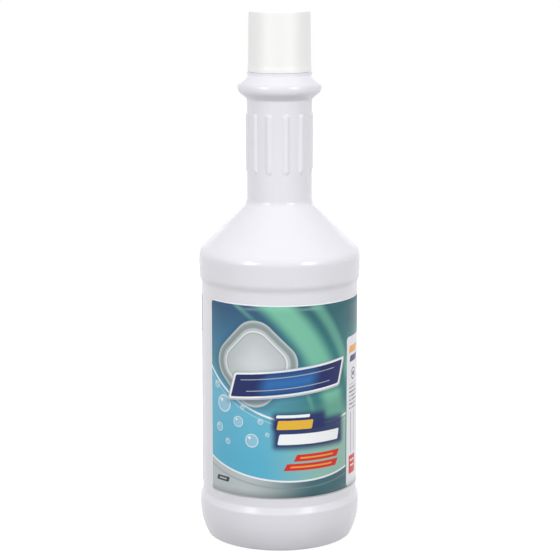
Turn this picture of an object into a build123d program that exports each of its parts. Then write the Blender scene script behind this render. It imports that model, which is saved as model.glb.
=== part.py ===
from build123d import *

import math
import os

# A tall round blow-moulded bottle with a ribbed grip on its neck, a screw cap with a sealing liner,
# and a printed film label wrapped round its body.
# Sizes are in millimetres, +Z is up, the origin is the middle of the circle the bottle stands on,
# and the front of the label faces -Y. Angles are measured about +Z from +X.

# Bottle walls
wall = 1.0
finish_bore_radius = 10.8

# Recessed base, with the weld that the mould pinches across it
foot_inner_radius = 34.2
foot_outer_radius = 36.5
recess_radius = 31.0
recess_height = 3.0
pinch_length = 46.0
pinch_width = 0.8
pinch_depth = 0.7

# Heel and the raised bump round the bottom of the body
heel_radius = 40.74
heel_height = 9.4
heel_round = 22.0
bump_height = 19.7

# Label panel and the raised band above it
panel_radius = 39.4
panel_bottom = 23.1
panel_top = 131.9
band_radius = 40.62
band_bottom = 134.6
shoulder_height = 147.1
shoulder_round = 6.0

# Neck, with the grip's ribs, and the rounded bead under the cap
neck_radius = 16.3
neck_bottom = 172.1
neck_round = 4.0
bead_bottom = 223.5
bead_side_radius = 20.3
bead_side_rise = 2.4
bead_radius = 21.05
bead_height = 229.1
bead_top = 235.5
collar_top = 236.7
rib_count = 12
rib_first_angle = 11.5
rib_round = 2.0
rib_crest_radius = 17.05
rib_bottom = 187.0
rib_top = 216.6

# Threaded finish inside the cap, of the 28 mm size
finish_radius = 12.55
finish_top = 265.2
finish_edge = 0.4
thread_crest_radius = 13.7
thread_crest_width = 1.05
thread_pitch = 25.4 / 6
thread_flank_angle = 30.0
thread_turns = 1.75
thread_fade_turns = 0.14
thread_sunk = 0.25
thread_middle = 258.1

# Cap
cap_bottom = 237.1
cap_top = 267.2
cap_rim_radius = 15.95
cap_flare_top = 240.4
cap_wall_radius = 15.55
cap_edge = 0.6
cap_inner_radius = 13.95
cap_thread_crest_radius = 12.85
cap_thread_crest_width = 0.9
cap_thread_turns = 1.5
cap_thread_play = 0.15

# Liner, pressed between the top of the cap and the mouth of the bottle
seat_gap = 0.02
liner_radius = 13.4
liner_thickness = 0.7

# Label, a film that wraps round the panel and leaves a narrow gap at its ends
label_thickness = 0.1
label_bottom = 27.7
label_top = 125.9
label_start_angle = -149.6
label_sweep = 336.6
label_corner = 2.0


def revolved(outline):
    """Turn a flat outline, drawn with x as radius and y as height, about the Z axis."""
    return revolve(Plane.XZ * outline, Axis.Z)


def body_section(rounded):
    """Half section of the body, filled to the axis and closed flat at the top of the collar."""
    corners = [
        # radius, height, rounding
        (recess_radius, recess_height, 0),
        (foot_inner_radius, 0, 0),
        (foot_outer_radius, 0, 0),
        (heel_radius, heel_height, heel_round),
        (heel_radius, bump_height, 0),
        (panel_radius, panel_bottom, 0),
        (panel_radius, panel_top, 0),
        (band_radius, band_bottom, 0),
        (band_radius, shoulder_height, shoulder_round),
        (neck_radius, neck_bottom, neck_round),
        (neck_radius, bead_bottom, 0),
        (bead_side_radius, bead_height - bead_side_rise, 0),
        (bead_radius, bead_height, 0),
        (bead_side_radius, bead_height + bead_side_rise, 0),
        (neck_radius, bead_top, 0),
        (neck_radius, collar_top, 0),
    ]
    side = FilletPolyline(
        (0, recess_height),
        *[(radius, height) for radius, height, rounding in corners],
        (0, collar_top),
        radius=[rounding if rounded else 0 for radius, height, rounding in corners],
    )
    return make_face([side, Line(side @ 1, side @ 0)])


def body_cavity():
    """The space inside the blown wall, which follows the outside all the way round."""
    section = body_section(rounded=False)
    inside = offset(section + mirror(section, Plane.YZ), -wall, kind=Kind.INTERSECTION)
    right_half = Pos(heel_radius, finish_top / 2) * Rectangle(2 * heel_radius, 2 * finish_top)
    return revolved(inside & right_half)


def grip_ribs():
    """Upright ribs, spaced evenly round the neck, with ends that slope down to it."""
    proud = rib_crest_radius - neck_radius
    sunk = proud - rib_round
    side = Polyline(
        (sunk, rib_bottom - rib_round),
        (proud, rib_bottom + proud),
        (proud, rib_top - proud),
        (sunk, rib_top + rib_round),
        close=True,
    )
    slab = extrude(Plane.XZ * make_face(side), rib_round, both=True)
    height = rib_top - rib_bottom + 2 * rib_round
    bar = Pos(sunk, 0, rib_bottom - rib_round + height / 2) * Cylinder(rib_round, height)
    rib = bar & slab
    return [place * rib for place in PolarLocations(neck_radius, rib_count, rib_first_angle)]


def pinch_line():
    """The flat-edged weld across the middle of the recessed base."""
    low = recess_height - pinch_depth
    high = recess_height + wall / 2
    return Pos(Z=(low + high) / 2) * Box(pinch_length, pinch_width, high - low)


def helix(radius, height, turns, taper):
    """One edge of a thread, starting on the X axis and drawn in by taper over its length."""
    rise = turns * thread_pitch
    cone_angle = -math.degrees(math.atan(taper / rise))
    slant_pitch = thread_pitch / math.cos(math.radians(cone_angle))
    return Pos(Z=height) * Edge.make_helix(slant_pitch, rise, radius, angle=cone_angle)


def thread_piece(root_radius, crest_radius, crest_width, turns, taper):
    """A length of thread with four ruled faces, whose crest sinks by taper at its far end."""
    slope = math.tan(math.radians(thread_flank_angle))
    root_width = crest_width + 2 * slope * abs(crest_radius - root_radius)
    low_root = helix(root_radius, -root_width / 2, turns, 0)
    high_root = helix(root_radius, root_width / 2, turns, 0)
    low_crest = helix(crest_radius, -crest_width / 2, turns, taper)
    high_crest = helix(crest_radius, crest_width / 2, turns, taper)
    loop = [low_root, low_crest, high_crest, high_root]
    sides = [
        Face.make_surface_from_curves(edge, following)
        for edge, following in zip(loop, loop[1:] + loop[:1])
    ]
    ends = [Face(Wire.make_polygon([edge @ end for edge in loop])) for end in (0, 1)]
    return Solid(Shell(sides + ends))


def thread(wall_radius, crest_radius, crest_width, turns):
    """A thread that fades into its wall at both ends, with its middle at the front at height 0."""
    height = crest_radius - wall_radius
    root_radius = wall_radius - math.copysign(thread_sunk, height)
    sizes = (root_radius, crest_radius, crest_width)
    fade = thread_fade_turns
    run = thread_piece(*sizes, turns / 2 - fade, 0)
    run_out = thread_piece(*sizes, fade, height + math.copysign(thread_sunk / 2, height))
    place = Pos(Z=(turns / 2 - fade) * thread_pitch) * Rot(Z=360 * (turns / 2 - fade))
    half = run + place * run_out
    return Rot(Z=-90) * (half + Rot(X=180) * half)


def finish():
    """The round mouth that the cap screws on to, with its thread."""
    low = collar_top - wall
    edge = finish_edge
    outline = Polyline(
        (0, low),
        (finish_radius, low),
        (finish_radius, finish_top - edge),
        (finish_radius - edge, finish_top),
        (0, finish_top),
        close=True,
    )
    ridge = thread(finish_radius, thread_crest_radius, thread_crest_width, thread_turns)
    return revolved(make_face(outline)) + Pos(Z=thread_middle) * ridge


def finish_bore():
    """The bore of the mouth, from its rim down into the hollow of the neck."""
    low = collar_top - 2 * wall
    return Pos(Z=(low + finish_top) / 2) * Cylinder(finish_bore_radius, finish_top - low)


def bottle():
    """One blown piece: body, ribbed neck, bead and threaded mouth, hollow all the way down."""
    outside = revolved(body_section(rounded=True)) + grip_ribs() + pinch_line() + finish()
    return outside - body_cavity() - finish_bore()


def cap_outside():
    """The cap's plain wall, which flares a little at its rim."""
    side = Polyline(
        (0, cap_bottom),
        (cap_rim_radius, cap_bottom),
        (cap_wall_radius, cap_flare_top),
        (cap_wall_radius, cap_top - cap_edge),
        (cap_wall_radius - cap_edge, cap_top),
        (0, cap_top),
        close=True,
    )
    return revolved(make_face(side))


def cap_inside():
    """The cap's plain hollow, with room at its top for the liner."""
    high = finish_top + liner_thickness + 2 * seat_gap
    return Pos(Z=(cap_bottom + high) / 2) * Cylinder(cap_inner_radius, high - cap_bottom)


def cap():
    """Screw cap whose thread hangs just under the bottle's thread when it is done up tight."""
    flank = math.tan(math.radians(thread_flank_angle))
    reach = (thread_crest_radius - cap_thread_crest_radius) * flank
    drop = (thread_crest_width + cap_thread_crest_width) / 2 + reach + cap_thread_play
    ridge = thread(
        cap_inner_radius, cap_thread_crest_radius, cap_thread_crest_width, cap_thread_turns
    )
    return cap_outside() - cap_inside() + Pos(Z=thread_middle - drop) * ridge


def cap_liner():
    """Round sealing disc that lies on the rim of the mouth under the top of the cap."""
    middle = finish_top + seat_gap + liner_thickness / 2
    return Pos(Z=middle) * Cylinder(liner_radius, liner_thickness)


def label():
    """Thin film with rounded corners, wrapped round the panel from one end to the other."""
    middle = panel_radius + label_thickness / 2
    height = label_top - label_bottom
    strip = Pos(middle, (label_top + label_bottom) / 2) * Rectangle(label_thickness, height)
    film = revolve(Plane.XZ * strip, Axis.Z, label_sweep)
    turned = Rot(Z=label_start_angle) * film
    corners = turned.edges().filter_by(lambda edge: edge.length < 2 * label_thickness)
    upright = corners.filter_by(Axis.Z, reverse=True)
    return fillet(upright, label_corner)


def main():
    os.makedirs("parts", exist_ok=True)
    pieces = {"bottle": bottle(), "cap": cap(), "cap_liner": cap_liner(), "label": label()}
    for name, piece in pieces.items():
        export_step(piece, f"parts/{name}.step")
    hollow = body_cavity() + finish_bore()
    print("brimful capacity in ml:", round(hollow.volume / 1000))


if __name__ == "__main__":
    main()
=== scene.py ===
import math
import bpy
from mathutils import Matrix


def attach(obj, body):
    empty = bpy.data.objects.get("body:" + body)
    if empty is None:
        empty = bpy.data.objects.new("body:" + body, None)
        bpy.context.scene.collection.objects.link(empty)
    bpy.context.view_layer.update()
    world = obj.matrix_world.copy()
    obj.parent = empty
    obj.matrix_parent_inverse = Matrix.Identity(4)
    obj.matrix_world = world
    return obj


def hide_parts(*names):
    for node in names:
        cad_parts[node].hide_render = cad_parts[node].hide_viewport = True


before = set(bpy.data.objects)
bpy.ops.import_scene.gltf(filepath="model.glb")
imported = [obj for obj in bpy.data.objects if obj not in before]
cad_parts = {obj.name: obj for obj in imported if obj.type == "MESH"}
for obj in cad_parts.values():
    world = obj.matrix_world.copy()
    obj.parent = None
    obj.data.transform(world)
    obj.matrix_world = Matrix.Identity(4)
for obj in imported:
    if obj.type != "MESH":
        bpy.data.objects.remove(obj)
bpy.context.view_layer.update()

from types import SimpleNamespace

import bmesh
import bpy
from bpy.props import FloatProperty, FloatVectorProperty, IntProperty, PointerProperty
from bpy.types import Operator, Panel, PropertyGroup
from mathutils import Vector

bl_info = {
    "name": "Decant Bottle",
    "version": (1, 0, 0),
    "blender": (4, 5, 0),
    "location": "3D View > Sidebar > Decant Bottle",
    "description": "Blown bottle with a ribbed neck, a screw cap with its liner and a printed label",
    "category": "Add Mesh",
}

MM = 0.001


def length(name, description, millimetres):
    """A length that the user can change, given in millimetres and kept in metres."""
    return FloatProperty(
        name=name, description=description, default=millimetres * MM, min=0,
        precision=5, subtype="DISTANCE", unit="LENGTH",
    )


def angle(name, description, degrees):
    """An angle that the user can change, given in degrees and kept in radians."""
    return FloatProperty(
        name=name, description=description, default=math.radians(degrees),
        subtype="ANGLE", unit="ROTATION",
    )


def quantity(name, description, value, least=0):
    """A plain number that the user can change."""
    return FloatProperty(name=name, description=description, default=value, min=least)


def colour(name, description, code):
    """A colour that the user can change, given as a six-figure code and kept as linear light."""
    return FloatVectorProperty(
        name=name, description=description, default=linear(code), min=0, max=1,
        size=4, subtype="COLOR",
    )


def linear(code):
    """Linear red, green, blue and alpha of a six-figure colour code."""
    parts = [int(code[start:start + 2], 16) / 255 for start in (0, 2, 4)]
    light = [part / 12.92 if part <= 0.04045 else ((part + 0.055) / 1.055) ** 2.4 for part in parts]
    return (*light, 1.0)


class BottleSizes(PropertyGroup):
    """Sizes of the blown bottle."""

    wall: length("Wall", "Thickness of the blown wall", 1.0)
    recess_radius: length("Recess radius", "Radius of the recess in the base", 31.0)
    recess_height: length("Recess height", "Height of the recessed base above the floor", 3.0)
    foot_inner: length("Foot inside", "Inside radius of the ring that the bottle stands on", 34.0)
    foot_outer: length("Foot outside", "Outside radius of the ring that the bottle stands on", 36.73)
    heel_height: length("Heel height", "Height where the curved heel meets the lower raised ring", 7.76)
    bump_top: length("Bump top", "Height where the lower raised ring ends", 19.7)
    panel_bottom: length("Panel bottom", "Height where the label panel starts", 23.1)
    panel_top: length("Panel top", "Height where the label panel ends", 131.9)
    band_bottom: length("Band bottom", "Height where the upper raised ring starts", 134.6)
    shoulder_bottom: length("Shoulder bottom", "Height where the shoulder starts", 147.1)
    neck_bottom: length("Neck bottom", "Height where the shoulder meets the neck", 172.1)
    bead_bottom: length("Bead bottom", "Height where the ring under the cap starts", 223.5)
    bead_low: length("Bead low edge", "Height of the lower edge of that ring's side", 227.3)
    bead_high: length("Bead high edge", "Height of the upper edge of that ring's side", 230.9)
    bead_top: length("Bead top", "Height where the ring under the cap ends", 235.5)
    collar_top: length("Collar top", "Height of the step that the mouth stands on", 237.0)
    mouth_top: length("Mouth top", "Height of the rim of the mouth", 265.2)
    panel_radius: length("Panel radius", "Radius of the body where the label lies", 39.4)
    bump_radius: length("Bump radius", "Radius of the raised rings above and below the label", 40.7)
    neck_radius: length("Neck radius", "Radius of the long neck", 16.35)
    bead_radius: length("Bead radius", "Radius of the rounded ring under the cap", 21.05)
    mouth_radius: length("Mouth radius", "Outside radius of the threaded mouth", 12.55)
    bore_radius: length("Bore radius", "Radius of the hole through the mouth", 10.8)
    rib_count: IntProperty(
        name="Rib count", description="Upright grip ribs round the neck", default=12, min=0,
    )
    rib_first_angle: angle("First rib", "Angle of one rib from the right-hand side", 11.5)
    rib_round: length("Rib rounding", "Radius of each rib's round crest", 2.0)
    rib_height: length("Rib height", "How far the ribs stand out from the neck", 0.8)
    rib_bottom: length("Rib bottom", "Height where the ribs start", 186.1)
    rib_top: length("Rib top", "Height where the ribs end", 217.0)
    rib_end: length("Rib end", "Length of each rib's sloping top end, half that of its bottom end", 1.3)


class ThreadSizes(PropertyGroup):
    """Sizes of the screw thread on the mouth and inside the cap."""

    pitch: length("Pitch", "Rise of the thread in one turn", 25.4 / 6)
    depth: length("Depth", "Height of the thread above its wall", 1.15)
    crest_width: length("Crest width", "Width of the thread's flat crest", 1.05)
    flank_angle: angle("Flank angle", "Slope of the thread's sides", 30)
    turns: quantity("Turns", "Turns of thread on the mouth", 1.75, 0.5)
    middle: length("Middle", "Height of the middle of the mouth's thread", 258.1)
    cap_depth: length("Cap thread depth", "Height of the cap's thread above its wall", 1.1)
    cap_crest_width: length("Cap crest width", "Width of the flat crest of the cap's thread", 0.9)
    cap_turns: quantity("Cap turns", "Turns of thread inside the cap", 1.5, 0.5)
    play: length("Play", "Room left between the two threads", 0.15)
    fade: quantity("Fade", "Part of a thread's length in which each of its ends fades", 0.07)
    sunk: length("Sunk", "How far a thread's root lies in its wall", 0.3)


class CapSizes(PropertyGroup):
    """Sizes of the cap and its liner."""

    bottom: length("Bottom", "Height of the cap's rim", 237.1)
    flare_bottom: length("Flare bottom", "Height where the rim starts to draw in", 238.4)
    flare_top: length("Flare top", "Height where the rim meets the wall", 240.4)
    ceiling: length("Ceiling", "Height of the top of the cap's hollow", 265.94)
    top: length("Top", "Height of the cap's closed end", 267.2)
    rim_radius: length("Rim radius", "Radius of the cap at its open end", 15.95)
    wall_radius: length("Wall radius", "Radius of the cap just above its rim", 15.73)
    top_radius: length("Top radius", "Radius of the cap at its closed end", 15.32)
    top_round: length("Top rounding", "Radius of the cap's top edge", 0.8)
    inner_radius: length("Inner radius", "Radius of the cap's hollow", 13.95)
    liner_radius: length("Liner radius", "Radius of the sealing disc", 13.4)
    liner_thickness: length("Liner thickness", "Thickness of the sealing disc", 0.7)
    liner_bottom: length("Liner bottom", "Height of the sealing disc's lower face", 265.22)


class LabelSizes(PropertyGroup):
    """Sizes of the printed film."""

    start_angle: angle("Start angle", "Where the film starts, from the right-hand side", -149.6)
    sweep: angle("Sweep", "How far round the body the film goes", 336.6)
    bottom: length("Bottom", "Height of the film's lower edge", 27.7)
    top: length("Top", "Height of the film's upper edge", 125.9)
    thickness: length("Thickness", "Thickness of the film", 0.08)
    corner: length("Corner", "Radius of the film's corners", 2.0)


class PlasticColours(PropertyGroup):
    """Colours of the plain plastics."""

    bottle: colour("Bottle", "Natural white polyethylene", "e4e4eb")
    cap: colour("Cap", "White polypropylene", "eeeeed")
    liner: colour("Liner", "White foam", "e6e8ea")


class PrintColours(PropertyGroup):
    """Inks of the label's print."""

    deep_blue: colour("Deep blue", "Top of the front panel", "2c4f70")
    steel_blue: colour("Steel blue", "Between the top and the middle", "3f7797")
    sky: colour("Sky", "Middle of the front panel, on its left", "6cb6d0")
    aqua: colour("Aqua", "Bottom of the front panel, on its left", "38a9cb")
    dark_teal: colour("Dark teal", "Right-hand edge and the header", "2b5f68")
    teal: colour("Teal", "Right of the front panel", "33777a")
    mint: colour("Mint", "Light bands of the front panel", "7ec6a8")
    pale_mint: colour("Pale mint", "Bottom of the front panel, on its right", "98bba9")
    silver: colour("Silver", "Large pale shape", "bac2c3")
    grey: colour("Grey", "Darker parts of the pale shape", "818e8f")
    navy: colour("Navy", "Plaque and block", "17245e")
    bright_blue: colour("Bright blue", "Glow inside the plaque", "2f74b8")
    yellow: colour("Yellow", "Upper bar of the block", "e6b53a")
    red: colour("Red", "Ribbons and the small block", "d22c1f")
    orange: colour("Orange", "Lines on the ribbons", "f0a54a")
    black: colour("Black", "Lines of small print", "3a3f46")
    white: colour("White", "White ink", "f4f6f8")
    paper: colour("Paper", "Bare film", "e9e9ee")


class StageSettings(PropertyGroup):
    """The camera, the white floor and the white room."""

    lens: quantity("Lens", "Focal length in millimetres", 123.06, 10)
    camera_distance: length("Distance", "From the axis to the camera, along the floor", 955.5)
    camera_height: length("Camera height", "Height of the camera above the floor", 309.3)
    camera_side: length("Camera side", "How far the camera stands to the right", 0.25)
    camera_pitch: angle("Camera pitch", "How far the camera looks down", 10.55)
    floor_tone: quantity("Floor tone", "Grey that the floor reflects", 0.31)
    floor_glow: quantity("Floor glow", "Light that the floor gives out where it is seen", 0.8)
    room_light: quantity("Room light", "Light that the room throws on the object", 0.68)


class Amount:
    """A number that a socket puts out, so that sums with it are written in the usual way."""

    def __init__(self, net, socket):
        self.net = net
        self.socket = socket

    def __add__(self, other):
        return self.net.maths("ADD", self, other)

    def __sub__(self, other):
        return self.net.maths("SUBTRACT", self, other)

    def __rsub__(self, other):
        return self.net.maths("SUBTRACT", other, self)

    def __mul__(self, other):
        return self.net.maths("MULTIPLY", self, other)

    def __truediv__(self, other):
        return self.net.maths("DIVIDE", self, other)


class Wiring:
    """Adds nodes to one tree and links them."""

    def __init__(self, tree):
        self.tree = tree

    def feed(self, socket, value):
        """Link a socket to another, or give it a plain value."""
        if isinstance(value, Amount):
            value = value.socket
        if isinstance(value, bpy.types.NodeSocket):
            self.tree.links.new(value, socket)
        else:
            socket.default_value = value

    def node(self, kind, inputs=None, **settings):
        """A new node with its settings, and its inputs by name or number."""
        node = self.tree.nodes.new(kind)
        for name, value in settings.items():
            setattr(node, name, value)
        for key, value in (inputs or {}).items():
            self.feed(node.inputs[key], value)
        return node

    def amount(self, kind, output, inputs=None, **settings):
        """What a new node puts out at one of its outputs."""
        return Amount(self, self.node(kind, inputs, **settings).outputs[output])

    def given(self):
        """What the tree is given, by name."""
        return {socket.name: Amount(self, socket) for socket in self.node("NodeGroupInput").outputs}

    def maths(self, operation, *values):
        """The result of a Math node."""
        return self.amount("ShaderNodeMath", 0, dict(enumerate(values)), operation=operation)

    def hypotenuse(self, across, up):
        """The length of the slope that goes this far across and up."""
        return self.maths("SQRT", self.maths("POWER", across, 2) + self.maths("POWER", up, 2))

    def smooth(self, value, low, high):
        """0 below low, 1 above high, and smooth between them."""
        ends = {"Value": value, "From Min": low, "From Max": high}
        return self.amount("ShaderNodeMapRange", "Result", ends, interpolation_type="SMOOTHSTEP")


SOCKET_KINDS = {
    "Outline": "Geometry",
    "Geometry": "Geometry",
    "Material": "Material",
    "Steps": "Int",
    "Rib Count": "Int",
}


def new_group(name, kind, inputs, outputs):
    """A new node group. Its sockets are plain numbers, apart from those in the table above."""
    tree = bpy.data.node_groups.new(name, kind)
    for way, sockets in (("INPUT", inputs), ("OUTPUT", outputs)):
        for socket in sockets:
            socket_type = "NodeSocket" + SOCKET_KINDS.get(socket, "Float")
            tree.interface.new_socket(socket, in_out=way, socket_type=socket_type)
    return tree


def new_material(name):
    """A new material, the wiring of its nodes and its shader."""
    material = bpy.data.materials.new(name)
    material.use_nodes = True
    return material, Wiring(material.node_tree), material.node_tree.nodes["Principled BSDF"]


def in_millimetres(sizes):
    """The lengths of a group of settings by their names, in millimetres."""
    fields = [field.identifier for field in sizes.bl_rna.properties if field.unit == "LENGTH"]
    return SimpleNamespace(**{field: getattr(sizes, field) / MM for field in fields})


def arc_points(before, corner, after, rounding, bend):
    """Points at most bend degrees apart on the arc that rounds a corner, or a sharp corner itself."""
    back = (before - corner).normalized()
    on = (after - corner).normalized()
    turn = math.pi - back.angle(on)
    if rounding <= 0 or turn < 0.001:
        return [corner]
    reach = rounding * math.tan(turn / 2)
    first = corner + back * reach
    centre = corner + (back + on).normalized() * math.hypot(rounding, reach)
    steps = max(2, math.ceil(math.degrees(turn) / bend))
    side = 1 if (corner - before).cross(after - corner) > 0 else -1
    points = []
    for step in range(steps + 1):
        part = side * turn * step / steps
        spoke = first - centre
        points.append(centre + Vector((
            spoke.x * math.cos(part) - spoke.y * math.sin(part),
            spoke.x * math.sin(part) + spoke.y * math.cos(part),
        )))
    return points


def rounded_outline(corners, longest, bend=8):
    """Outline, in metres, through corners given as a radius, a height and a rounding in millimetres.

    A straight run is cut up into lengths of at most longest, with a short one held at each end of it.
    """
    held = 0.3 * MM
    spots = [Vector((radius, height)) * MM for radius, height, rounding in corners]
    runs = [[spots[0]]]
    for number in range(1, len(corners) - 1):
        rounding = corners[number][2] * MM
        runs.append(arc_points(*spots[number - 1:number + 2], rounding, bend))
    runs.append([spots[-1]])
    points = list(runs[0])
    for run in runs[1:]:
        start, end = points[-1], run[0]
        span = (end - start).length
        hold = min(held, span / 3)
        if span > 2 * held:
            middle = max(1, math.ceil((span - 2 * hold) / longest))
            lengths = [hold + (span - 2 * hold) * step / middle for step in range(middle + 1)]
            points += [start.lerp(end, part / span) for part in lengths]
        points += run
    return points


def turning_tree():
    """Geometry nodes that turn an outline about the Z axis, with ribs or as a screw thread."""
    tree = new_group("Turned Form", "GeometryNodeTree", (
        "Outline", "Steps", "Turns", "Start Angle", "Axis Radius", "Start Height", "Pitch", "Fade",
        "Rib Count", "Rib First Angle", "Rib Round", "Rib Height", "Rib Bottom", "Rib Top", "Rib End",
        "Rib Radius", "Material",
    ), ("Geometry",))
    net = Wiring(tree)
    given = net.given()
    outline = given["Outline"]
    steps = given["Steps"]
    size = net.node("GeometryNodeAttributeDomainSize", {"Geometry": outline}, component="MESH")
    count = size.outputs["Point Count"]
    grid = net.node("GeometryNodeMeshGrid", {"Vertices X": steps + 1, "Vertices Y": count})
    index = net.amount("GeometryNodeInputIndex", 0)
    column = net.maths("FLOOR", (index + 0.5) / count)
    sample = net.node("GeometryNodeSampleIndex", {
        "Geometry": outline,
        "Value": net.node("GeometryNodeInputPosition").outputs[0],
        "Index": index - column * count,
    }, data_type="FLOAT_VECTOR")
    spot = net.node("ShaderNodeSeparateXYZ", {0: sample.outputs[0]}).outputs
    part = column / steps
    swept = part * given["Turns"] * math.tau
    theta = swept + given["Start Angle"]
    end = net.maths("MINIMUM", part, 1.0 - part)
    unfaded = net.maths("LESS_THAN", given["Fade"], 0.000001)
    fade = net.maths("MAXIMUM", net.smooth(end, 0.0, given["Fade"]), unfaded)
    radius = fade * spot[0] + given["Axis Radius"]
    height = fade * spot[2] + swept / math.tau * given["Pitch"] + given["Start Height"]
    ribbed = radius + rib_field(net, given, theta, radius, height)
    place = net.node("ShaderNodeCombineXYZ", {
        0: ribbed * net.maths("COSINE", theta), 1: ribbed * net.maths("SINE", theta), 2: height,
    })
    shape = grid.outputs["Mesh"]
    for kind, inputs in (
        ("SetPosition", {"Position": place.outputs[0]}),
        ("MergeByDistance", {"Distance": 0.002 * MM}),
        ("RealizeInstances", {}),
        ("SetMaterial", {"Material": given["Material"]}),
    ):
        shape = net.node("GeometryNode" + kind, {"Geometry": shape, **inputs}).outputs[0]
    net.node("NodeGroupOutput", {"Geometry": shape})
    return tree


def rib_field(net, given, theta, radius, height):
    """How far each point of the neck stands out because of the upright ribs."""
    maths = net.maths
    blend = 0.3 * MM
    near = 0.3 * MM
    half = maths("DIVIDE", math.pi, maths("MAXIMUM", given["Rib Count"], 1))
    local = maths("WRAP", theta - given["Rib First Angle"], half, half * -1)
    across = maths("SINE", local) * given["Rib Radius"]
    squares = maths("POWER", given["Rib Round"], 2) - maths("POWER", across, 2)
    proud = maths("SQRT", maths("MAXIMUM", squares, 0)) - given["Rib Round"] + given["Rib Height"]
    low = net.smooth(height, given["Rib Bottom"], given["Rib Bottom"] + given["Rib End"] * 2)
    high = net.smooth(height, given["Rib Top"], given["Rib Top"] - given["Rib End"])
    sunk = (1.0 - low * high) * given["Rib Height"]
    lifted = maths("SMOOTH_MAX", proud - sunk, 0.0, blend)
    close = maths("COMPARE", radius, given["Rib Radius"], near)
    return lifted * close * maths("GREATER_THAN", given["Rib Count"], 0.5)


def turned(outline, material, steps=288, **inputs):
    """The plain mesh that the turning nodes make from an outline of (radius, height) points.

    The other inputs of the nodes are given by their names.
    """
    line = bpy.data.meshes.new("outline")
    line.from_pydata(
        [(point.x, 0, point.y) for point in outline],
        [(number, number + 1) for number in range(len(outline) - 1)],
        [],
    )
    carrier = bpy.data.objects.new("outline", line)
    bpy.context.scene.collection.objects.link(carrier)
    tree = bpy.data.node_groups.get("Turned Form") or turning_tree()
    modifier = carrier.modifiers.new("Turned Form", "NODES")
    modifier.node_group = tree
    values = {"Steps": steps, "Turns": 1.0, "Material": material, **inputs}
    for item in tree.interface.items_tree:
        if item.in_out == "INPUT" and item.name in values:
            modifier[item.identifier] = values[item.name]
    bpy.context.view_layer.update()
    shown = carrier.evaluated_get(bpy.context.evaluated_depsgraph_get())
    mesh = bpy.data.meshes.new_from_object(shown)
    bpy.data.objects.remove(carrier)
    bpy.data.meshes.remove(line)
    return mesh


def thread_ridge(sizes, wall_radius, inward, material):
    """The screw thread's ridge, sunk a little in its wall and fading into it at both ends."""
    out = -1 if inward else 1
    depth = sizes.cap_depth if inward else sizes.depth
    width = sizes.cap_crest_width if inward else sizes.crest_width
    turns = sizes.cap_turns if inward else sizes.turns
    slope = math.tan(sizes.flank_angle)
    crest = width / 2 / MM
    root = crest + slope * (depth + sizes.sunk) / MM
    crest_round = 0.25
    low = -sizes.sunk * out / MM
    high = depth * out / MM
    corners = [(low, -root, 0), (high, -crest, crest_round), (high, crest, crest_round), (low, root, 0)]
    if inward:
        corners.reverse()
    outline = rounded_outline(corners, 1 * MM)
    outline.append(outline[0])
    drop = 0
    if inward:
        mouth_radius = bpy.context.scene.decant_bottle.mouth_radius
        reach = (mouth_radius + sizes.depth - wall_radius + depth) * slope
        drop = (sizes.crest_width + width) / 2 + reach + sizes.play
    return turned(outline, material, steps=300, **{
        "Turns": turns,
        "Start Angle": -math.pi / 2 - math.pi * turns,
        "Start Height": sizes.middle - drop - turns * sizes.pitch / 2,
        "Axis Radius": wall_radius,
        "Pitch": sizes.pitch,
        "Fade": sizes.fade,
    })


def fine_steps(radius, low, high, apart=0.3):
    """Closely spaced points up the neck, where the ribs' ends need them."""
    count = round((high - low) / apart)
    return [(radius, low + (high - low) * step / count, 0) for step in range(count + 1)]


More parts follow.
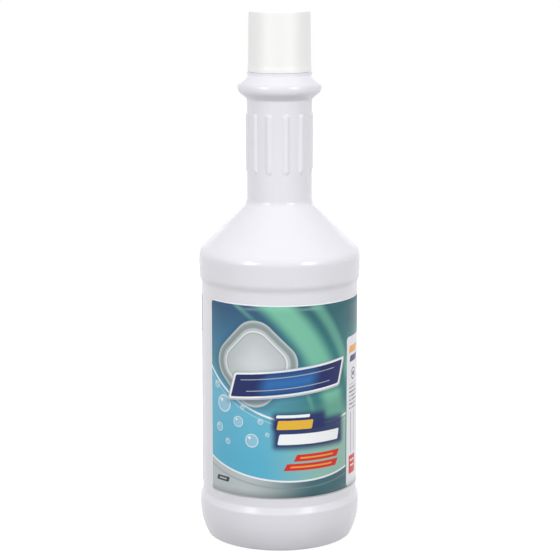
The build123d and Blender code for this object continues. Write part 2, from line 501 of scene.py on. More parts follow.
def bottle_outline(sizes):
    """The bottle's whole section, up its outside in fine steps and down its inside in coarse ones."""
    at = in_millimetres(sizes)
    inner_panel = at.panel_radius - at.wall
    inner_bump = at.bump_radius - at.wall
    inner_neck = at.neck_radius - at.wall
    inner_bead = at.bead_radius - at.wall
    outside = [
        # radius, height, rounding
        (0, at.recess_height, 0),
        (at.recess_radius, at.recess_height, 1.4),
        (at.foot_inner, 0, 0.8),
        (at.foot_outer, 0, 1.5),
        (at.bump_radius, at.heel_height, 32),
        (at.bump_radius, at.bump_top, 2),
        (at.panel_radius, at.panel_bottom, 2.5),
        (at.panel_radius, at.panel_top, 5),
        (at.bump_radius - 0.13, at.band_bottom, 5),
        (at.bump_radius - 0.04, at.shoulder_bottom, 6),
        (at.neck_radius - 0.1, at.neck_bottom, 3.5),
        *fine_steps(at.neck_radius - 0.08, at.rib_bottom - 0.3, at.rib_bottom + 3.3),
        *fine_steps(at.neck_radius - 0.02, at.rib_top - 2.0, at.rib_top + 0.4),
        (at.neck_radius, at.bead_bottom, 1.8),
        (at.bead_radius, at.bead_low, 3.4),
        (at.bead_radius, at.bead_high, 3.4),
        (at.neck_radius, at.bead_top, 0.6),
        (at.neck_radius, at.collar_top, 0.12),
        (at.mouth_radius, at.collar_top, 0.3),
        (at.mouth_radius, at.mouth_top, 0.4),
        (at.bore_radius, at.mouth_top, 0.3),
        (at.bore_radius, at.mouth_top - 3.2, 0),
    ]
    inside = [
        (at.bore_radius, at.mouth_top - 4.2, 0),
        (at.bore_radius, at.bead_top + 0.2, 0.3),
        (inner_neck, at.bead_top - 0.5, 0.5),
        (inner_bead, at.bead_high - 0.4, 2.5),
        (inner_bead, at.bead_low + 0.4, 2.5),
        (inner_neck, at.bead_bottom + 0.5, 0.5),
        (inner_neck - 0.1, at.neck_bottom - 0.5, 4),
        (inner_bump, at.shoulder_bottom - 0.6, 5),
        (inner_bump, at.band_bottom + 0.2, 0.5),
        (inner_panel, at.panel_top + 0.2, 0.5),
        (inner_panel, at.panel_bottom - 0.2, 1.5),
        (inner_bump, at.bump_top - 0.2, 3),
        (inner_bump, at.heel_height + 0.24, 30),
        (at.foot_outer - 0.63, at.wall, 0.5),
        (at.foot_inner + 0.6, at.wall, 0.5),
        (at.recess_radius + 0.4, at.recess_height + at.wall, 0.5),
        (0, at.recess_height + at.wall, 0),
    ]
    return rounded_outline(outside, 12 * MM) + rounded_outline(inside, 60 * MM, 24)


def cap_corners(sizes):
    """Corners of the cap's section, down its inside and up its outside."""
    at = in_millimetres(sizes)
    return [
        # radius, height, rounding
        (0, at.ceiling, 0),
        (at.inner_radius, at.ceiling, 0.4),
        (at.inner_radius, at.bottom + 0.8, 0.3),
        (at.inner_radius + 0.7, at.bottom, 0.15),
        (at.rim_radius, at.bottom, 0.12),
        (at.rim_radius, at.flare_bottom, 0.9),
        (at.wall_radius, at.flare_top, 2.0),
        (at.top_radius, at.top, at.top_round),
        (0, at.top, 0),
    ]


def pinch_ridge():
    """The low weld across the recessed base, where the mould pinched the hot tube shut."""
    mesh = bmesh.new()
    half = 23.0 * MM
    side = 0.45 * MM
    top = 3.2 * MM
    low = 2.3 * MM
    edge = low + 0.25 * MM
    end_round = 3 * MM
    stations = 48
    section = [
        (-side, top), (-side * 0.8, edge), (-side * 0.3, low),
        (side * 0.3, low), (side * 0.8, edge), (side, top),
    ]
    rings = []
    for station in range(stations + 1):
        along = half * (2 * station / stations - 1)
        end = min(1.0, (half - abs(along)) / end_round)
        keep = math.sqrt(max(0.0, 1 - (1 - end) ** 2))
        rings.append([
            mesh.verts.new((along, across, top - (top - height) * keep))
            for across, height in section
        ])
    for first, second in zip(rings, rings[1:]):
        for number in range(len(section)):
            after = (number + 1) % len(section)
            mesh.faces.new((first[number], first[after], second[after], second[number]))
    mesh.faces.new(rings[0])
    mesh.faces.new(reversed(rings[-1]))
    bmesh.ops.remove_doubles(mesh, verts=mesh.verts, dist=1e-7)
    bmesh.ops.recalc_face_normals(mesh, faces=mesh.faces)
    result = bpy.data.meshes.new("pinch ridge")
    mesh.to_mesh(result)
    mesh.free()
    return result


def film_columns(sizes, radius):
    """Where each column of the film lies along it, and the inset that rounds the film's corners."""
    whole = sizes.sweep * radius
    corner = sizes.corner
    ends = [corner * (1 - math.cos(math.radians(part))) for part in range(0, 91, 10)]
    inner = max(1, math.ceil(math.degrees(sizes.sweep)))
    middle = [corner + (whole - 2 * corner) * step / inner for step in range(1, inner)]
    places = ends + middle + [whole - place for place in reversed(ends)]
    columns = []
    for place in places:
        beyond = max(0.0, corner - min(place, whole - place))
        columns.append((place, corner - math.sqrt(max(0.0, corner ** 2 - beyond ** 2))))
    return columns


def film_mesh(sizes, panel_radius):
    """The wrapped film as a thin closed sheet, with a UV map in metres along and up the film."""
    gap = 0.015 * MM
    rows = 24
    inner = panel_radius + gap
    outer = inner + sizes.thickness
    columns = film_columns(sizes, outer)
    mesh = bmesh.new()
    uv_layer = mesh.loops.layers.uv.new("film")
    flat = {}

    def vertex(radius, along, height):
        turn = sizes.start_angle + along / outer
        across = (radius * math.cos(turn), radius * math.sin(turn))
        point = mesh.verts.new((*across, sizes.bottom + height))
        flat[point] = (along, height)
        return point

    def sheet(radius):
        grid = []
        for along, inset in columns:
            span = sizes.top - sizes.bottom - 2 * inset
            grid.append([vertex(radius, along, inset + span * row / rows) for row in range(rows + 1)])
        return grid

    front, back = sheet(outer), sheet(inner)
    for number in range(len(columns) - 1):
        for row in range(rows):
            for grid, turn in ((front, 1), (back, -1)):
                corners = [
                    grid[number][row], grid[number + 1][row],
                    grid[number + 1][row + 1], grid[number][row + 1],
                ]
                mesh.faces.new(corners[::turn])
        for row, turn in ((0, 1), (rows, -1)):
            corners = [
                back[number][row], back[number + 1][row],
                front[number + 1][row], front[number][row],
            ]
            mesh.faces.new(corners[::turn])
    for number, turn in ((0, 1), (-1, -1)):
        for row in range(rows):
            corners = [
                front[number][row], front[number][row + 1],
                back[number][row + 1], back[number][row],
            ]
            mesh.faces.new(corners[::turn])
    for face in mesh.faces:
        face.smooth = abs(face.normal.z) < 0.5
        for loop in face.loops:
            loop[uv_layer].uv = flat[loop.vert]
    result = bpy.data.meshes.new("film")
    mesh.to_mesh(result)
    mesh.free()
    return result


MOTTLE_LOW = 0.3
MOTTLE_HIGH = 0.7
DARKEST_TINT = 0.975


def skin_group():
    """Shader group: the soft ripple and fine grain that a mould leaves on plastic."""
    tree = new_group(
        "Moulded Skin", "ShaderNodeTree",
        ("Ripple", "Grain", "Ripple Scale", "Grain Scale"), ("Height", "Mottle"),
    )
    net = Wiring(tree)
    given = net.given()
    place = net.node("ShaderNodeTexCoord").outputs["Object"]
    drawn_out = (1.0, 1.0, 0.45)
    stretched = net.node("ShaderNodeVectorMath", {0: place, 1: drawn_out}, operation="MULTIPLY")

    def noise(where, scale, roughness):
        return net.amount("ShaderNodeTexNoise", "Fac", {
            "Vector": where, "Scale": scale, "Detail": 2.0, "Roughness": roughness,
        })

    ripple = noise(stretched.outputs[0], given["Ripple Scale"], 0.4) * given["Ripple"]
    grain = noise(place, given["Grain Scale"], 0.6) * given["Grain"]
    net.node("NodeGroupOutput", {"Height": ripple + grain, "Mottle": noise(place, 18.0, 0.5)})
    return tree


def finish_surface(net, shader, roughness, spread, ripple, grain):
    """Gives a shader a gloss that varies, and ripples and grain of these heights in metres."""
    group = bpy.data.node_groups.get("Moulded Skin") or skin_group()
    skin = net.node("ShaderNodeGroup", {
        "Ripple": ripple, "Grain": grain, "Ripple Scale": 90.0, "Grain Scale": 2600.0,
    }, node_tree=group)
    mottle = skin.outputs["Mottle"]
    gloss = net.node("ShaderNodeMapRange", {
        "Value": mottle, "From Min": MOTTLE_LOW, "From Max": MOTTLE_HIGH,
        "To Min": roughness - spread, "To Max": roughness + spread,
    })
    net.feed(shader.inputs["Roughness"], gloss.outputs["Result"])
    bump = net.node("ShaderNodeBump", {
        "Strength": 1.0, "Distance": 1.0, "Height": skin.outputs["Height"],
    })
    net.feed(shader.inputs["Normal"], bump.outputs["Normal"])
    return mottle


def plastic(name, paint, roughness, spread, ripple, grain, subsurface):
    """A moulded plastic: its tint and gloss vary a little. Ripple and grain are heights in metres."""
    material, net, shader = new_material(name)
    mottle = finish_surface(net, shader, roughness, spread, ripple, grain)
    tint = net.node("ShaderNodeMix", data_type="RGBA")
    net.feed(tint.inputs[0], net.smooth(mottle, MOTTLE_LOW, MOTTLE_HIGH))
    net.feed(tint.inputs[6], [part * DARKEST_TINT for part in paint[:3]] + [1.0])
    net.feed(tint.inputs[7], tuple(paint))
    net.feed(shader.inputs["Base Color"], tint.outputs[2])
    shader.inputs["Subsurface Weight"].default_value = subsurface
    shader.inputs["Subsurface Radius"].default_value = (0.004, 0.004, 0.0045)
    shader.inputs["Subsurface Scale"].default_value = 1.0
    shader.inputs["IOR"].default_value = 1.5
    return material


def print_group(name, inputs, draw):
    """Shader group that puts out the mask of one printed shape, drawn in millimetres."""
    tree = new_group(name, "ShaderNodeTree", inputs, ("Mask",))
    net = Wiring(tree)
    net.node("NodeGroupOutput", {"Mask": draw(net, net.given())})
    return tree


def from_centre(given):
    """How far to the right of a shape's centre each point lies, and how far above it."""
    return given["Along"] - given["Centre Along"], given["Up"] - given["Centre Up"]


def rounded_box(net, given, directions):
    """The mask of a box, from a place and a width in each of its two directions."""
    maths = net.maths
    rounding = given["Rounding"]
    edge = given["Edge"]
    beyond = [maths("ABSOLUTE", place) - (width / 2 - rounding) for place, width in directions]
    corner = net.hypotenuse(*[maths("MAXIMUM", side, 0) for side in beyond])
    inside = maths("MINIMUM", maths("MAXIMUM", *beyond), 0)
    return 1 - net.smooth(corner + inside - rounding, edge * -1, edge)


def draw_bar(net, given):
    """A rounded bar that may lean and be tilted."""
    right, high = from_centre(given)
    high = high - right * given["Tilt"]
    right = right - high * given["Lean"]
    return rounded_box(net, given, ((right, given["Width"]), (high, given["Height"])))


def draw_diamond(net, given):
    """A square with rounded corners that stands on one of them."""
    right, high = from_centre(given)
    directions = [((right + high * sign) * math.sqrt(0.5), given["Size"]) for sign in (1, -1)]
    return rounded_box(net, given, directions)


def draw_disc(net, given):
    """A disc, or a ring where it has a hole."""
    reach = net.hypotenuse(*from_centre(given))
    edge = given["Edge"]
    rims = (given["Radius"], given["Hole"])
    past_rim, past_hole = [net.smooth(reach, rim - edge, rim + edge) for rim in rims]
    whole = net.maths("LESS_THAN", given["Hole"], 0.001)
    return (1 - past_rim) * net.maths("MAXIMUM", past_hole, whole)


def draw_lines(net, given):
    """Rows of short plain dashes, in the place of small print."""
    maths = net.maths
    rows = given["Up"] / given["Pitch"]
    row = maths("FLOOR", rows)
    near = maths("ABSOLUTE", maths("FRACT", rows) - 0.5)
    line = 1 - net.smooth(near, given["Weight"] * 0.4, given["Weight"] * 0.6)
    shift = net.amount("ShaderNodeTexWhiteNoise", "Value", {"W": row}, noise_dimensions="1D")
    along = given["Along"] / given["Word"] + shift * 7
    spot = net.node("ShaderNodeCombineXYZ", {0: maths("FLOOR", along), 1: row}).outputs[0]
    word = net.amount("ShaderNodeTexWhiteNoise", "Value", {"Vector": spot}, noise_dimensions="2D")
    return line * maths("LESS_THAN", maths("FRACT", along), word * 0.5 + 0.45)


SPOT = ("Along", "Up")
CENTRED = (*SPOT, "Centre Along", "Centre Up")
PRINT_SHAPES = {
    "Print Bar": ((*CENTRED, "Width", "Height", "Rounding", "Lean", "Tilt", "Edge"), draw_bar),
    "Print Disc": ((*CENTRED, "Radius", "Hole", "Edge"), draw_disc),
    "Print Diamond": ((*CENTRED, "Size", "Rounding", "Edge"), draw_diamond),
    "Print Lines": ((*SPOT, "Pitch", "Weight", "Word"), draw_lines),
}


class PrintRun:
    """Lays inks over each other on the film, in millimetres along it and up it."""

    ramp_height = 98

    def __init__(self, net, along, up):
        self.net = net
        self.along = along
        self.up = up
        self.colour = None
        self.groups = {name: print_group(name, *shape) for name, shape in PRINT_SHAPES.items()}

    def shape(self, kind, centre=None, **sizes):
        """The mask of one printed shape, which most kinds draw round a centre."""
        group = self.groups[kind]
        if centre is not None:
            sizes.update(centre_along=centre[0], centre_up=centre[1])
        node = self.net.node("ShaderNodeGroup", node_tree=group)
        for name, value in {"along": self.along, "up": self.up, **sizes}.items():
            self.net.feed(node.inputs[name.replace("_", " ").title()], value)
        return Amount(self.net, node.outputs["Mask"])

    def lay(self, ink, mask, strength=1.0):
        """Lay an ink over what is printed so far."""
        if strength < 1:
            mask = mask * strength
        mix = self.net.node("ShaderNodeMix", data_type="RGBA")
        self.net.feed(mix.inputs[0], mask)
        self.net.feed(mix.inputs[6], self.colour)
        self.net.feed(mix.inputs[7], ink)
        self.colour = mix.outputs[2]

    def bar_mask(self, centre, size, rounding=0.3, lean=0.0, tilt=0.0, edge=0.12):
        """The mask of a rounded bar."""
        return self.shape(
            "Print Bar", centre, width=size[0], height=size[1],
            rounding=rounding, lean=lean, tilt=tilt, edge=edge,
        )

    def bar(self, ink, centre, size, rounding=0.3, strength=1.0, **form):
        """Print a rounded bar."""
        self.lay(ink, self.bar_mask(centre, size, rounding, **form), strength)

    def disc(self, ink, centre, radius, hole=0.0, edge=0.12, strength=1.0, within=None):
        """Print a disc or a ring, within a mask if there is one."""
        mask = self.shape("Print Disc", centre, radius=radius, hole=hole, edge=edge)
        if within is not None:
            mask = mask * within
        self.lay(ink, mask, strength)

    def beyond(self, centre, radius):
        """The mask of everything outside a circle."""
        return 1 - self.shape("Print Disc", centre, radius=radius, hole=0, edge=0.1)

    def diamond(self, ink, centre, size, rounding, edge, strength):
        """Print a rounded square that stands on one corner."""
        mask = self.shape("Print Diamond", centre, size=size, rounding=rounding, edge=edge)
        self.lay(ink, mask, strength)

    def bands(self, inks, places):
        """A column of colours that run into each other up the film."""
        ramp = self.net.node("ShaderNodeValToRGB", {"Fac": self.up / self.ramp_height})
        stops = ramp.color_ramp.elements
        while len(stops) < len(inks):
            stops.new(0.5)
        for stop, place, ink in zip(stops, places, inks):
            stop.position = place
            stop.color = ink
        return ramp.outputs["Color"]


BUBBLES = (
    # along, up, radius in millimetres
    (10.5, 46.5, 4.4), (19.5, 38.5, 2.8), (7.2, 34.0, 2.3), (17.0, 52.5, 1.7), (27.0, 29.5, 3.5),
    (13.0, 27.5, 1.6), (31.5, 39.5, 1.5), (5.5, 55.5, 1.9), (22.0, 46.0, 1.2), (35.0, 33.0, 1.1),
)


def front_fields(sheet, ink):
    """The front panel's blended ground, its light bands and its sweeping curves."""
    net = sheet.net
    left_inks = (ink.aqua, ink.aqua, ink.sky, ink.steel_blue, ink.deep_blue)
    right_inks = (ink.pale_mint, ink.mint, ink.teal, ink.teal, ink.dark_teal)
    sheet.colour = sheet.bands(left_inks, (0, 0.2, 0.52, 0.8, 1))
    right = sheet.bands(right_inks, (0, 0.3, 0.5, 0.75, 1))
    sheet.lay(right, net.smooth(sheet.along + sheet.up * 0.22, 34, 76))
    for radius, hole, edge, strength in (
        (113, 101, 3.5, 0.85), (124, 119, 2.0, 0.5), (95, 93, 1.0, 0.35),
    ):
        sheet.disc(ink.mint, (-32, 18), radius, hole, edge, strength)
    curve = (62, 122)
    curve_radius = 84
    below = sheet.beyond(curve, curve_radius)
    sheet.lay(ink.sky, below, 0.55)
    sheet.lay(ink.pale_mint, below * net.smooth(sheet.along, 30, 74), 0.85)
    sheet.disc(ink.dark_teal, curve, curve_radius, curve_radius - 10, 4.0, 0.35)
    sheet.disc(ink.white, curve, curve_radius + 0.9, curve_radius - 0.1, 0.15, 0.9)
    sheet.disc(ink.white, curve, curve_radius + 3.0, curve_radius + 2.7, 0.15, 0.45)
    low_curve = (50, 152)
    low_radius = 143
    foot = sheet.beyond(low_curve, low_radius)
    sheet.lay(ink.silver, foot)
    sheet.lay(ink.dark_teal, foot * net.smooth(sheet.along, 22, 60), 0.95)
    sheet.disc(ink.white, low_curve, low_radius + 0.5, low_radius - 0.4, 0.15, 0.9)
    sheet.disc(ink.grey, low_curve, low_radius + 4.0, low_radius + 3.2, 0.4, 0.5, foot)


def front_motifs(sheet, ink):
    """The pale shape, the bubbles, the bare plaque, the block, the ribbons and the tag."""
    for size, tone, strength, edge in (
        (40.5, ink.deep_blue, 0.45, 2.6), (37.5, ink.silver, 1.0, 0.15),
        (35.6, ink.grey, 0.85, 0.7), (31.0, ink.silver, 1.0, 0.5),
        (28.6, ink.white, 0.75, 0.4), (27.4, ink.grey, 0.75, 0.3),
        (26.4, ink.silver, 1.0, 0.8), (15.0, ink.white, 0.35, 7.0),
    ):
        sheet.diamond(tone, (28.5, 68.5), size, size * 0.3, edge, strength)
    for along, up, radius in BUBBLES:
        glint = (along - radius * 0.35, up + radius * 0.4)
        sheet.disc(ink.white, (along, up), radius, strength=0.22)
        sheet.disc(ink.white, (along, up), radius, radius * 0.86, strength=0.6)
        sheet.disc(ink.white, glint, radius * 0.2, edge=0.1, strength=0.9)
    across = 46
    up = 59.5
    slant = {"lean": 0.3, "tilt": 0.1}
    sheet.bar(ink.deep_blue, (across + 0.5, up - 1.0), (63.5, 15.5), 1.5, edge=1.6, strength=0.5, **slant)
    sheet.bar(ink.silver, (across, up - 0.2), (62, 14.2), 1.4, **slant)
    sheet.bar(ink.white, (across, up), (60.6, 13.0), 1.1, **slant)
    sheet.bar(ink.navy, (across, up), (58.6, 11.2), 0.7, **slant)
    sheet.bar(ink.bright_blue, (across, up), (26, 7), 3.0, edge=5.0, strength=0.9, **slant)
    for offset, width in ((2.9, 50), (-2.9, 44)):
        sheet.bar(ink.silver, (across, up + offset), (width, 0.45), 0.2, strength=0.7, **slant)
    sheet.bar(ink.navy, (57.5, 33.0), (39.5, 15.0), 2.0, edge=2.2, strength=0.95)
    sheet.bar(ink.navy, (51.5, 39.5), (27.5, 9.0), 2.0, edge=2.0, strength=0.95)
    for tone, centre, size, rounding in (
        (ink.white, (48.0, 42.3), (17.0, 1.5), 0.3),
        (ink.yellow, (49.0, 37.9), (18.0, 4.6), 0.7),
        (ink.white, (57.3, 30.6), (33.5, 5.4), 0.7),
    ):
        sheet.bar(tone, centre, size, rounding, lean=0.2)
    for across, up, width in ((61.5, 20.9, 25.0), (58.5, 16.3, 29.0)):
        sheet.bar(ink.red, (across, up), (width, 3.5), 0.2, lean=0.5)
        sheet.bar(ink.orange, (across - 0.5, up), (width - 6.0, 0.9), lean=0.5, strength=0.85)
    sheet.bar(ink.black, (9.5, 7.6), (8.6, 2.6), 0.6, lean=0.3)
    sheet.bar(ink.silver, (9.5, 7.6), (5.0, 0.7), 0.2, lean=0.3)


def side_panel(sheet, ink, width):
    """The header and the white panel that go round the back, with dashes for small print."""
    front = sheet.colour
    header_inks = (ink.teal, ink.teal, ink.dark_teal, ink.dark_teal)
    sheet.colour = sheet.bands(header_inks, (0, 0.8, 0.9, 1))
    sheet.disc(ink.mint, (150, -20), 113, 106, 2.5, 0.5)
    sheet.disc(ink.steel_blue, (178, -30), 125, 120, 2.5, 0.4)
    start = 81.5
    end = width + 3.0
    panel = sheet.bar_mask(((start + end) / 2, 39.5), (end - start, 77.4), 2.0, edge=0.1)
    sheet.lay(ink.paper, panel)
    lines = sheet.shape("Print Lines", pitch=1.65, weight=0.5, word=3.4)
    for number in range(6):
        left = 99.0 + 22.0 * number
        centre = (left + 9.5, 33.0 + 3.0 * (number % 2))
        column = sheet.bar_mask(centre, (18.5, 50.0 - 6.0 * (number % 3)), 0.1)
        sheet.lay(ink.black, lines * column * panel, 0.75)
        sheet.bar(ink.dark_teal, (left + 6.5, 67.5), (12.5, 2.2), 0.4)
        sheet.bar(ink.grey, (left + 20.4, 38.0), (0.25, 62.0), 0.1, strength=0.6)
    small = sheet.shape("Print Lines", pitch=2.1, weight=0.46, word=2.2)
    narrow = sheet.bar_mask((89.5, 47.0), (10.0, 13.0), 0.1)
    sheet.lay(ink.black, small * narrow, 0.8)
    sheet.bar(ink.orange, (89.5, 71.5), (10.5, 3.6), 0.8, lean=0.3)
    sheet.bar(ink.navy, (90.0, 66.6), (10.0, 3.2), 0.8, lean=0.3)
    sheet.disc(ink.black, (89.5, 58.5), 3.1, 2.5)
    sheet.disc(ink.navy, (89.5, 58.5), 1.3)
    for along in (86.3, 90.7):
        sheet.bar(ink.black, (along, 28.5), (0.55, 21.0), 0.1, strength=0.8)
    sheet.bar(ink.red, (88.5, 11.5), (8.5, 9.5), 0.5)
    sheet.bar(ink.white, (88.5, 13.6), (6.0, 0.8), 0.2, strength=0.9)
    sheet.bar(ink.white, (88.5, 10.8), (5.0, 0.8), 0.2, strength=0.9)
    side = sheet.colour
    sheet.colour = front
    sheet.lay(side, sheet.net.smooth(sheet.along, 80.6, 80.8))


def film_material(inks, width, height):
    """Glossy film with generic fields of colour, bare along all its edges but its far end."""
    material, net, shader = new_material("label film")
    flat = net.node("ShaderNodeUVMap", uv_map="film").outputs["UV"]
    parts = net.node("ShaderNodeSeparateXYZ", {0: flat}).outputs
    sheet = PrintRun(net, *[Amount(net, part) / MM for part in parts[:2]])
    front_fields(sheet, inks)
    front_motifs(sheet, inks)
    side_panel(sheet, inks, width)
    margin = 0.6
    end = width + 1.0
    printed = sheet.bar_mask(
        ((margin + end) / 2, height / 2), (end - margin, height - 2 * margin), 1.6, edge=0.08,
    )
    sheet.lay(inks.paper, 1 - printed)
    net.feed(shader.inputs["Base Color"], sheet.colour)
    finish_surface(net, shader, roughness=0.32, spread=0.035, ripple=0.000015, grain=0.0000006)
    shader.inputs["Specular IOR Level"].default_value = 0.3
    return material


class DECANT_OT_bottle(Operator):
    """Build the blown bottle with its ribbed neck and threaded mouth"""

    bl_idname = "decant.bottle"
    bl_label = "Bottle"

    def execute(self, context):
        sizes = context.scene.decant_bottle
        material = plastic(
            "bottle polyethylene", context.scene.decant_plastics.bottle,
            roughness=0.25, spread=0.018, ripple=0.00001, grain=0.000001, subsurface=0.2,
        )
        ribs = {
            "Rib " + name: getattr(sizes, "rib_" + name.lower().replace(" ", "_"))
            for name in ("Count", "First Angle", "Round", "Height", "Bottom", "Top", "End")
        }
        ribs["Rib Radius"] = sizes.neck_radius - 0.05 * MM
        body = turned(bottle_outline(sizes), material, **ribs)
        ridge = thread_ridge(context.scene.decant_thread, sizes.mouth_radius, False, material)
        meshes = [body, ridge, pinch_ridge()]
        finished("bottle_blown", meshes, material, "bottle", "bottle")
        return {"FINISHED"}


class DECANT_OT_cap(Operator):
    """Build the screw cap with the thread inside it"""

    bl_idname = "decant.cap"
    bl_label = "Cap"

    def execute(self, context):
        sizes = context.scene.decant_cap
        material = plastic(
            "cap polypropylene", context.scene.decant_plastics.cap,
            roughness=0.42, spread=0.04, ripple=0.00001, grain=0.000002, subsurface=0.1,
        )
        wall = turned(rounded_outline(cap_corners(sizes), 4 * MM), material)
        ridge = thread_ridge(context.scene.decant_thread, sizes.inner_radius, True, material)
        finished("screw_cap", [wall, ridge], material, "cap", "cap")
        return {"FINISHED"}


class DECANT_OT_liner(Operator):
    """Build the sealing disc inside the cap"""

    bl_idname = "decant.liner"
    bl_label = "Liner"

    def execute(self, context):
        sizes = context.scene.decant_cap
        material = plastic(
            "liner foam", context.scene.decant_plastics.liner,
            roughness=0.8, spread=0.08, ripple=0.00002, grain=0.00002, subsurface=0.1,
        )
        at = in_millimetres(sizes)
        low = at.liner_bottom
        high = low + at.liner_thickness
        edge = 0.2
        corners = [(0, low, 0), (at.liner_radius, low, edge), (at.liner_radius, high, edge), (0, high, 0)]
        disc = turned(rounded_outline(corners, 3 * MM), material)
        finished("sealing_disc", [disc], material, "cap_lift", "cap_liner")
        return {"FINISHED"}


class DECANT_OT_label(Operator):
    """Wrap the printed film round the body"""

    bl_idname = "decant.label"
    bl_label = "Label"

    def execute(self, context):
        sizes = context.scene.decant_label
        panel_radius = context.scene.decant_bottle.panel_radius
        width = sizes.sweep * (panel_radius + sizes.thickness) / MM
        height = (sizes.top - sizes.bottom) / MM
        material = film_material(context.scene.decant_inks, width, height)
        film = film_mesh(sizes, panel_radius)
        finished("printed_film", [film], material, "bottle", "label", smooth=False)
        return {"FINISHED"}


def finished(name, meshes, material, body, node, smooth=True):
    """Join meshes into one piece, smooth all over if asked, that replaces a node and rides a body."""
    joined = bmesh.new()
    for mesh in meshes:
        joined.from_mesh(mesh)
        bpy.data.meshes.remove(mesh)
    for face in joined.faces:
        face.material_index = 0
        face.smooth = face.smooth or smooth
    result = bpy.data.meshes.new(name)
    joined.to_mesh(result)
    joined.free()
    result.materials.append(material)
    piece = bpy.data.objects.new(name, result)
    bpy.context.scene.collection.objects.link(piece)
    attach(piece, body)
    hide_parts(node)


LAMPS = (
    # name, place and size in metres, power in watts
    ("lamp left", (-0.52, -0.55, 0.46), (0.2, 0.28), 2.4),
    ("lamp right", (0.52, -0.55, 0.46), (0.2, 0.28), 2.4),
    ("lamp top", (0.0, 0.05, 1.2), (1.2, 1.0), 1.5),
    ("lamp back", (0.0, 1.1, 0.6), (1.0, 0.6), 3.0),
)
LAMP_AIM = Vector((0, 0, 0.25))
FLOOR_SIZE = 3
FLOOR_HEIGHT = -0.2 * MM
WHITE = (1, 1, 1, 1)


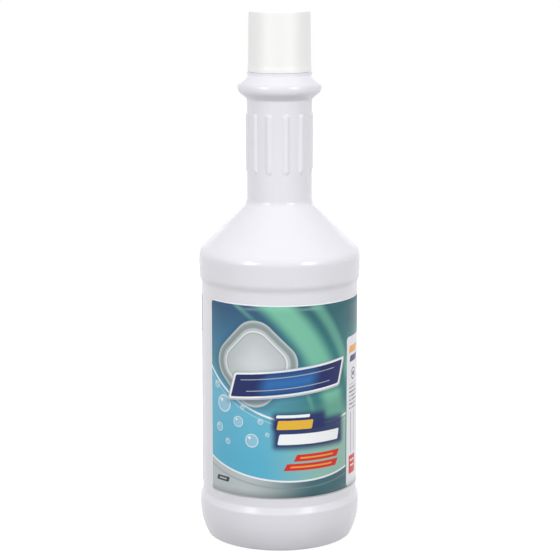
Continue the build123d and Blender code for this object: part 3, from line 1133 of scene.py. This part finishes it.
class DECANT_OT_stage(Operator):
    """Set up the floor, the lamps, the world and the camera"""

    bl_idname = "decant.stage"
    bl_label = "Stage"

    def execute(self, context):
        settings = context.scene.decant_stage
        self.add_floor(context, settings)
        self.add_world(context, settings)
        self.add_lamps(context)
        self.add_camera(context, settings)
        context.scene.view_settings.view_transform = "Standard"
        return {"FINISHED"}

    def add_floor(self, context, settings):
        mesh = bmesh.new()
        bmesh.ops.create_grid(mesh, x_segments=1, y_segments=1, size=FLOOR_SIZE)
        result = bpy.data.meshes.new("floor")
        mesh.to_mesh(result)
        mesh.free()
        result.materials.append(self.floor_material(settings))
        floor = bpy.data.objects.new("floor", result)
        floor.location.z = FLOOR_HEIGHT
        context.scene.collection.objects.link(floor)

    def floor_material(self, settings):
        """White to the camera and in reflections, with the object's soft shadow on it."""
        material, net, shader = new_material("floor")
        shader.inputs["Base Color"].default_value = (*[settings.floor_tone] * 3, 1)
        shader.inputs["Roughness"].default_value = 0.9
        shader.inputs["Emission Color"].default_value = WHITE
        net.feed(shader.inputs["Emission Strength"], self.seen(net) * settings.floor_glow)
        return material

    def seen(self, net):
        """1 where a ray comes from the camera, a reflection or a see-through piece."""
        path = net.node("ShaderNodeLightPath").outputs
        mirrored = net.maths("MAXIMUM", path["Is Glossy Ray"], path["Is Transmission Ray"])
        return net.maths("MAXIMUM", path["Is Camera Ray"], mirrored)

    def add_world(self, context, settings):
        world = bpy.data.worlds.new("studio")
        world.use_nodes = True
        context.scene.world = world
        net = Wiring(world.node_tree)
        plain = world.node_tree.nodes["Background"]
        plain.inputs["Color"].default_value = WHITE
        plain.inputs["Strength"].default_value = settings.room_light
        white = net.node("ShaderNodeBackground", {"Color": WHITE, "Strength": 1.0})
        both = net.node("ShaderNodeMixShader", {0: self.seen(net)})
        net.feed(both.inputs[1], plain.outputs[0])
        net.feed(both.inputs[2], white.outputs[0])
        net.feed(world.node_tree.nodes["World Output"].inputs["Surface"], both.outputs[0])

    def add_lamps(self, context):
        for name, place, size, power in LAMPS:
            light = bpy.data.lights.new(name, "AREA")
            light.shape = "RECTANGLE"
            light.size, light.size_y = size
            light.energy = power
            lamp = bpy.data.objects.new(name, light)
            lamp.location = place
            aim = LAMP_AIM - Vector(place)
            lamp.rotation_euler = aim.to_track_quat("-Z", "Y").to_euler()
            context.scene.collection.objects.link(lamp)

    def add_camera(self, context, settings):
        camera = bpy.data.cameras.new("camera")
        camera.lens = settings.lens
        camera.sensor_width = 36
        camera.clip_end = 20
        viewer = bpy.data.objects.new("camera", camera)
        viewer.location = (settings.camera_side, -settings.camera_distance, settings.camera_height)
        viewer.rotation_euler = (math.pi / 2 - settings.camera_pitch, 0, 0)
        context.scene.collection.objects.link(viewer)
        context.scene.camera = viewer


class VIEW3D_PT_decant_bottle(Panel):
    """Sidebar panel with the sizes, the colours and a button for each piece"""

    bl_label = "Decant Bottle"
    bl_space_type = "VIEW_3D"
    bl_region_type = "UI"
    bl_category = "Decant Bottle"

    def draw(self, context):
        for operator in OPERATORS:
            self.layout.operator(operator.bl_idname)
        for name, group in SETTINGS.items():
            box = self.layout.box()
            box.label(text=group.__doc__)
            for field in group.__annotations__:
                box.prop(getattr(context.scene, name), field)


OPERATORS = (
    DECANT_OT_bottle, DECANT_OT_cap, DECANT_OT_liner, DECANT_OT_label, DECANT_OT_stage,
)
SETTINGS = {
    "decant_bottle": BottleSizes,
    "decant_thread": ThreadSizes,
    "decant_cap": CapSizes,
    "decant_label": LabelSizes,
    "decant_plastics": PlasticColours,
    "decant_inks": PrintColours,
    "decant_stage": StageSettings,
}


def register():
    for group in SETTINGS.values():
        bpy.utils.register_class(group)
    for name, group in SETTINGS.items():
        setattr(bpy.types.Scene, name, PointerProperty(type=group))
    for operator in OPERATORS:
        bpy.utils.register_class(operator)
    bpy.utils.register_class(VIEW3D_PT_decant_bottle)


def unregister():
    bpy.utils.unregister_class(VIEW3D_PT_decant_bottle)
    for operator in reversed(OPERATORS):
        bpy.utils.unregister_class(operator)
    for name in SETTINGS:
        delattr(bpy.types.Scene, name)
    for group in reversed(SETTINGS.values()):
        bpy.utils.unregister_class(group)


def main():
    register()
    bpy.ops.decant.bottle()
    bpy.ops.decant.cap()
    bpy.ops.decant.liner()
    bpy.ops.decant.label()
    bpy.ops.decant.stage()


if __name__ == "__main__":
    main()
